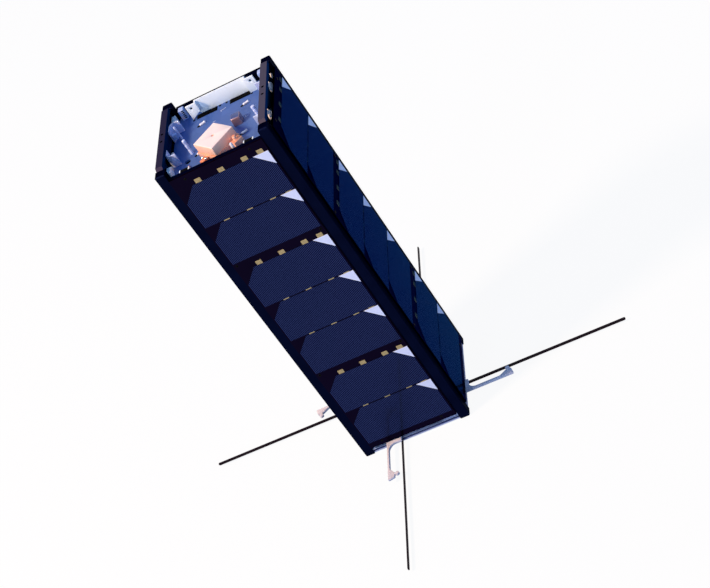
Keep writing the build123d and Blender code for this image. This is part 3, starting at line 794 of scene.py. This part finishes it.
# %% Tape antennas
def curved_tape(line, low, high, root, tip):
    """A curved strip from root to tip, between two heights.

    Across, both skins bulge by a parabola.  Along, the steps follow a sine, so that they crowd towards
    the tip, and there the width shrinks along a quarter circle.
    """
    length_steps, width_steps = 40, 7
    thickness, bulge, nose = 0.85, 0.3, 0.9  # real steel is near 0.1 mm, and would not show
    run = np.sin(np.linspace(0, np.pi / 2, length_steps))[:, None] * (tip - root) + root
    narrowing = np.sqrt(np.clip(1 - np.clip((run - tip + nose) / nose, 0, 1) ** 2, 0.02, 1))
    across = np.linspace(-1, 1, width_steps)[None, :]
    skin = line + bulge * (0.5 - across ** 2)
    up = (low + high) / 2 + (high - low) / 2 * across * narrowing
    front, back = (np.stack([skin + half + 0 * run, run + 0 * across, up], -1)
                   for half in (thickness / 2, -thickness / 2))
    ring = np.concatenate([front, back[:, ::-1]], 1)
    return ring.reshape(-1, 3), ring_faces(length_steps, 2 * width_steps)


tape_line = -13.0  # along each side, from its middle
tape_box = node_box("antenna_front")
tape_root, tape_tip = -tape_box[1, 1], -tape_box[0, 1]
tape_low, tape_high = tape_box[:, 2]
tape_lip = 0.3  # the blade stands this far above and below its clamp
clamp_outline = rectangle((tape_line, tape_root + 0.6), (1.0, 1.1))
clamp_levels = ((0.1, tape_low), (0, tape_low + 0.1), (0, tape_high - 0.1), (0.1, tape_high))
blade = curved_tape(tape_line, tape_low - tape_lip, tape_high + tape_lip, tape_root, tape_tip)
clamp = raised(clamp_outline, clamp_levels)
for side, turn in SIDES:
    surfaces = [(on_side(turn, points), faces) for points, faces in (blade, clamp)]
    tape = make_piece(f"tape_{side}", surfaces, "antenna_tape")
    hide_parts(f"antenna_{side}")

# %% [markdown]
# ## The bay's hardware
# The payload bay is full of small parts.  Two black bus headers fill the slots in the deck, so that the
# boards below can plug together.  Blocks with a small chamfer are enough for them at this size.

# %% Bus headers
slot_middle = (15.2, 33.2)
header_size, header_sink, header_height = (18.4, 5.0), 1.5, 2.2
contact_pitch = 2.54  # the usual pitch of such headers
contact_size, contact_base, contact_height = (0.64, 0.64), 0.6, 0.35
headers, contacts = [], []
for x in (-slot_middle[0], slot_middle[0]):
    headers.append(block((x, slot_middle[1]), header_size, deck_top - header_sink, header_height, 0.3))
    for column in (np.arange(7) - 3) * contact_pitch:
        for row in (-contact_pitch / 2, contact_pitch / 2):
            contacts.append(block((x + column, slot_middle[1] + row), contact_size,
                                  deck_top + contact_base, contact_height, 0.1))
make_piece("bus_headers", headers, "black_plastic")
make_piece("header_contacts", contacts, "black_plastic", "black_oxide")

# %% [markdown]
# Nylon standoffs with turned grooves carry the next board.  Clips of plated steel hold the deck, each in
# a slot that lets it slide.  Under each clip a thin black sheet is the painted shade of its slot, and
# small black eyelets mark where wires pass through.

# %% Standoffs in place of the plain posts
# x, y, radius and height of each
posts = ((-37.4, 13.0, 0.9, 12.8), (-26.3, -14.6, 1.5, 14.2), (33.0, -4.0, 1.7, 9.6))


def standoff(x, y, radius, height):
    """A rod with two turned grooves and a domed head: its radius steps in by a sixth at each groove."""
    groove, dome = radius * 5 / 6, radius * 0.6
    steps = ((0, 0), (radius, 0), (radius, 0.3), (groove, 0.34), (groove, 0.4), (radius, 0.44),
             (radius, 0.64), (groove, 0.68), (groove, 0.74), (radius, 0.78), (radius, 0.96), (dome, 1),
             (0, 1))
    return turned([(ring, share * height, 0) for ring, share in steps], (x, y, deck_top), steps=20)


standoffs = make_piece("standoffs", [standoff(*post) for post in posts], "steel_fastener", "blue_nylon")
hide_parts("bay_posts")

# %% Slot clips in place of the plain deck screws
clip_spot, clip_turn = 20.0, 14  # from the middle each way, and degrees
bar_shift, tip_shift = (0.9, 0.3), (3.2, 0.9)  # from the middle of the slot
slot_shadow_top = deck_top + 0.08
spots = [np.array((x, y)) for x in (-clip_spot, clip_spot) for y in (-clip_spot, clip_spot)]
slot_shadow_levels = ((0, deck_top), (0, slot_shadow_top))
bar_levels = ((0, slot_shadow_top), (0, deck_top + 1.0), (0.35, deck_top + 1.3))
tip_profile = ((0, 0, 0), (1.0, 0, 0), (1.0, 0.9, 0), (0.75, 1.5, 0), (0.3, 1.8, 0), (0, 1.85, 0))
# Painted shade: a thin black sheet along each slot, under its clip.
painted_slot_shadows = [raised(stadium(spot, 8.0, 2.7, clip_turn), slot_shadow_levels) for spot in spots]
slot_bars = [raised(stadium(spot + bar_shift, 4.9, 2.0, clip_turn), bar_levels) for spot in spots]
slot_tips = [turned(tip_profile, (*(spot + tip_shift), slot_shadow_top), steps=16) for spot in spots]
make_piece("painted_slot_shadows", painted_slot_shadows, "black_plastic", "black_oxide")
slot_clips = make_piece("slot_clips", slot_bars + slot_tips, "steel_fastener", "pale_clip")
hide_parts("deck_screws")

# %% Eyelets
eyelet_profile = ((0, 0, 0), (1.15, 0, 0), (1.15, 0.12, 0), (0.8, 0.25, 0), (0, 0.25, 0))
eyelet_spots = ((-3.4, 35.1), (2.6, 35.1), (-27.3, 31.0), (26.0, 31.0))
eyelets = [turned(eyelet_profile, (x, y, deck_top), steps=16) for x, y in eyelet_spots]
make_piece("eyelets", eyelets, "black_plastic", "black_oxide")

# %% [markdown]
# A pale connector stands in each back corner, with a column of five dark contacts and two gilt tails.
# Nylon tabs space the deck from the side webs and show through their windows, and rolled nylon collars
# line the windows of the right web, so that cables don't chafe on the sheet.

# %% Corner connectors, with five dark contacts each
connector_y, connector_size, connector_height = 41.0, (4.8, 5.2), 9.6
contact_rises, tail_rises = np.arange(5) * 1.65 + 1.4, (1.2, 3.0)  # above the deck
connector_front = connector_y - connector_size[1] / 2
connectors, slits, tails = [], [], []
for x in (-35.2, 38.4):
    connectors.append(block((x, connector_y), connector_size, deck_top, connector_height, 0.4))
    slits += [block((x + 1.3, connector_front), (1.8, 0.5), deck_top + rise, 0.9, 0.1)
              for rise in contact_rises]
    tails += [block((x - 1.0, connector_front), (2.2, 0.4), deck_top + rise, 0.8, 0.1)
              for rise in tail_rises]
make_piece("corner_connectors", connectors, "bare_aluminium", "pale_nylon")
make_piece("connector_contacts", slits, "black_plastic", "black_oxide")
make_piece("connector_tails", tails, "sensor_metal")

# %% Spacer tabs behind the windows of both webs
spacer_line, spacer_width, spacer_height = 43.7, 2.0, 3.0  # from the middle, and the tab's size
spacer_plans = ((39.7, 3.6), (28.2, 8.2), (-8.5, 6.4), (-27.0, 5.6))  # middle and length
spacer_tabs = [block((x, y), (spacer_width, length), deck_top, spacer_height, 0.3)
               for x in (-spacer_line, spacer_line) for y, length in spacer_plans]
make_piece("spacer_tabs", spacer_tabs, "bare_aluminium", "cream_nylon")

# %% Cable collars on the sills of the right web's windows
web_plane = 46.8  # outer face of the web, from the middle of the satellite
window_sill = 2.1  # above the deck
collar_height, collar_room = 3.8, 0.05
collar_middle = deck_top + window_sill + collar_height / 2 + collar_room
collar_plans = ((-35.2, 5.5), (-19.0, 12.0), (19.0, 12.0), (35.2, 5.5))  # middle and length
collar_ring = ((0, -2.3), (0, 0.0), (0.3, 0.2), (0.6, 0.0), (0.8, -2.3), (0, -2.3))  # a closed loop
collars = []
for middle, length in collar_plans:
    outline = stadium((middle, collar_middle), length, collar_height)
    points, faces = raised(outline, collar_ring, ends=False)
    collars.append((on_side(90, points[:, [0, 2, 1]] + (0, web_plane, 0)), faces))
make_piece("window_collars", collars, "bare_aluminium", "cream_nylon")

# %% A block at the head of the thin post
post_block = block((-40.6, 12.5), (3.4, 3.6), deck_top + 2.6, 4.6, 0.5)
make_piece("post_block", [post_block], "bare_aluminium", "pale_nylon")

# %% [markdown]
# The antenna module ends in a rolled edge, just over the floor.  It is one small profile carried along
# each side, which is quicker than rounding the whole block, and leaves the pockets for the arms alone.

# %% Skirt of the antenna module
module_out = node_box("antenna_housing")[1, 0]
half_edge = 41.2  # half the length of each rolled edge
skirt_profile = np.array([(-1.6, 2.55), (-0.3, 2.45), (0.0, 2.1), (-0.1, 1.4), (-0.6, 0.8), (-1.5, 0.5),
                          (-2.6, 0.5), (-2.6, 2.55)])  # out from the module's side, and up
out, up = skirt_profile.T
# The same profile at both ends of a side makes two rings, and their faces are the rolled edge.
along = np.array((-half_edge, half_edge))[:, None]
skirt = np.stack([along + 0 * out, module_out + out + 0 * along, up + 0 * along], -1).reshape(-1, 3)
skirts = [(on_side(turn, skirt), ring_faces(2, len(skirt_profile))) for side, turn in SIDES]
make_piece("module_skirts", skirts, "clear_anodised", "milled_module")

# %% [markdown]
# The sensor stands on its base at 45 degrees.  A white pin guides it, a foot of cast resin with two
# screws steadies it, and drops of the same resin lock its seams.

# %% Sensor trim: guide pin, second foot and gusset
pin_profile = ((0, 0, 0), (1.7, 0, 0), (1.7, 0.6, 0), (1.3, 0.7, 0), (1.3, 8.2, 0), (0.9, 8.8, 0),
               (0, 8.8, 0))
make_piece("guide_pin", [turned(pin_profile, (14.4, -40.2, deck_top))], "steel_fastener", "white_nylon")
foot_top = deck_top + 2.8
foot = raised(rectangle((-12.6, -34.0), (8.0, 4.6), 45),
              ((0, deck_top), (0, deck_top + 2.4), (0.4, foot_top)))
make_piece("sensor_foot", [foot], "sensor_metal", "orange_resin")
foot_screw = socket_head(1.3, 0.7, 1.0, 1.0, 0.6, 0.4)
foot_screws = [turned(foot_screw, (x, y, foot_top), steps=18)
               for x, y in ((-14.2, -32.4), (-11.0, -35.6))]
make_piece("sensor_foot_screws", foot_screws, "steel_fastener")
mark_places = ((-8.6, -31.6, 4.4), (-6.2, -34.0, 3.2), (-10.8, -29.6, 3.0))  # x, y, and above the deck
drops = [block((x, y), (3.0, 1.1), deck_top + rise, 1.2, 0.2, -45) for x, y, rise in mark_places]
make_piece("sensor_marks", drops, "sensor_metal", "orange_resin")
gusset_plan = np.array([(-28.4, -36.6), (-25.7, -37.2), (-28.0, -31.0)])
gusset = raised(gusset_plan, ((0, deck_top), (0, deck_top + 1.6), (0.3, deck_top + 2.0)))
make_piece("deck_gusset", [gusset], "sensor_metal", "orange_resin")

# %% [markdown]
# Printed marks show where parts go on a board.  Here they are left as bare corner and dash shapes, a few
# hundredths of a millimetre thick, as real ink is.

# %% Printed marks on the deck
ink_levels = ((0, deck_top), (0, deck_top + 0.04))
# x, y, length, width and turn of each
strokes = ((-0.4, 27.5, 3.2, 0.45, 12), (-2.2, 26.6, 0.45, 2.0, 12), (1.6, 28.4, 1.2, 0.45, 12),
           (22.5, 1.7, 2.6, 0.4, 0), (21.2, 2.7, 0.4, 2.0, 0), (24.0, 3.6, 1.2, 0.4, 0),
           (-8.0, 16.0, 2.4, 0.4, 0), (6.0, -3.0, 0.4, 2.4, 0), (-14.0, 5.0, 2.0, 0.4, 0))
marks = [raised(rectangle((x, y), (length, width), turn), ink_levels)
         for x, y, length, width, turn in strokes]
make_piece("printed_marks", marks, "deck_board", "white_ink")

# %% [markdown]
# ## The antenna module's hardware
# Each arm turns on a pin and is kept there by a spring clip, a flat ring pressed into a groove.  Four
# socket screws hold the cover under the module.

# %% Clips on the hinge pins
pivot = np.array((-24.4, 45.5, 0.0))  # along the side, out of it, up
arm_top = node_box("arm_front")[1, 2]
clip_low, clip_high = arm_top + 0.06, arm_top + 0.3
clip_inner, clip_outer = 1.02, 1.75
clip_profile = ((clip_inner, clip_low, 0), (clip_outer, clip_low, 0), (clip_outer, clip_high, 0),
                (clip_inner, clip_high, 0), (clip_inner, clip_low, 0))
make_piece("hinge_clips", [turned(clip_profile, on_side(turn, pivot)) for side, turn in SIDES],
           "steel_fastener")

# %% Cover screws
cover_bottom = node_box("antenna_cover")[0, 2]
cover_screw = socket_head(1.9, 0.35, 1.5, 0.6, 0.9, 0.25)
cover_screws = [turned(cover_screw, (x, y, cover_bottom), (0, 0, -1), 18)
                for x in (-33, 33) for y in (-33, 33)]
make_piece("cover_screws", cover_screws, "steel_fastener")

# %% [markdown]
# ## The floor, the light and the camera
# The satellite stands on a pale floor in a soft studio.  The floor is painted white and, to the camera
# and to mirrors and glass, glows a little, so that it stays white while the shadow on it still shows.
# The paint that lights the satellite from below is a cooler blue.

# %% Floor
def looked_at(owner):
    """One for rays from the camera, a mirror or glass, and nought for others: three flags added up."""
    rays = add(owner, "ShaderNodeLightPath").outputs
    total = rays["Is Camera Ray"]
    for flag in (rays["Is Glossy Ray"], rays["Is Transmission Ray"]):
        total = add(owner, "ShaderNodeMath", {"operation": "ADD", "use_clamp": True},
                    {0: total, 1: flag})
    return total


floor_half = 8000
floor_glow = 0.93  # share of plain white that the camera and mirrors see
floor_points = np.array([(-1, -1, 0), (1, -1, 0), (1, 1, 0), (-1, 1, 0)]) * floor_half * MM
floor_mesh = bpy.data.meshes.new("floor")
floor_mesh.from_pydata(floor_points.tolist(), [], [(0, 1, 2, 3)])
floor = add_object("floor", floor_mesh)
floor_finish, floor_shader = new_material("pale_floor", Roughness=0.9)[:2]
bounce = add(floor_finish, "ShaderNodeLightPath").outputs["Is Diffuse Ray"]
paint = add(floor_finish, "ShaderNodeMix",
            {"data_type": "RGBA", MIX_A: colour("EEEEF2"), MIX_B: colour("769ED2")},
            {MIX_FACTOR: bounce})
join(floor_shader, Base_Color=paint)
share = add(floor_finish, "ShaderNodeMath", {"operation": "MULTIPLY", 1: floor_glow},
            {0: looked_at(floor_finish)})
glow = add(floor_finish, "ShaderNodeEmission", {"Color": colour("FFFFFF"), "Strength": 1.0})
mixed = add(floor_finish, "ShaderNodeMixShader", None, {0: share, 1: floor_shader, 2: glow})
join(floor_finish.node_tree.nodes["Material Output"], Surface=mixed)
floor_mesh.materials.append(floor_finish)
print("floor of", 2 * floor_half * MM, "m")

# %% [markdown]
# The room is a blue surround that fills the shadows, but shows white where it is looked at.  A large
# warm lamp hangs high, to the left and in front, and gives the key.  A narrow cool spot fills the front
# alone, so that what lies low beside the satellite keeps its shadow.

# %% World and lamps
world = bpy.data.worlds.new("soft_studio")
world.use_nodes = True
bpy.context.scene.world = world
room = world.node_tree.nodes["Background"]
room.inputs["Color"].default_value = colour("92BCFF")
room.inputs["Strength"].default_value = 0.62
white = add(world, "ShaderNodeBackground", {"Color": colour("FFFFFF")})
choice = add(world, "ShaderNodeMixShader", None, {0: looked_at(world), 1: room, 2: white})
join(world.node_tree.nodes["World Output"], Surface=choice)


def add_lamp(name, kind, watts, code, place, aim, **settings):
    """A lamp at a place in metres, turned to look at a height on the satellite's axis."""
    data = bpy.data.lights.new(name, kind)
    data.energy = watts
    data.color = colour(code)[:3]
    for key, value in settings.items():
        setattr(data, key, value)
    lamp = add_object(name, data)
    lamp.location = place
    lamp.rotation_euler = (Vector((0, 0, aim)) - lamp.location).to_track_quat("-Z", "Y").to_euler()
    print(name, "of", watts, "W")


add_lamp("warm_softbox", "AREA", 130, "FFDAB0", (-1.98, -0.99, 2.61), 0.17, size=0.5)
add_lamp("front_fill", "SPOT", 200, "E6EFFF", (-1.0, -2.85, 1.1), 0.235,
         shadow_soft_size=0.3, spot_size=radians(7.8), spot_blend=0.1)

# %% [markdown]
# The camera hangs in front, to the right and above, with a long lens, and is rolled so that the
# satellite leans across the frame.

# %% Camera
camera_data = bpy.data.cameras.new("camera")
camera_data.sensor_width = 36
camera_data.lens = 98.55
camera_data.clip_end = 50
camera_data.shift_x = -0.0004
camera_data.shift_y = 0.0007
camera = add_object("camera", camera_data)
camera.location = (0.49357, -1.25572, 1.04414)
camera.rotation_euler = (radians(50.0515), radians(28.8), radians(-0.9082))
bpy.context.scene.camera = camera
bpy.context.scene.view_settings.view_transform = "Standard"
print("a lens of", camera_data.lens, "mm")
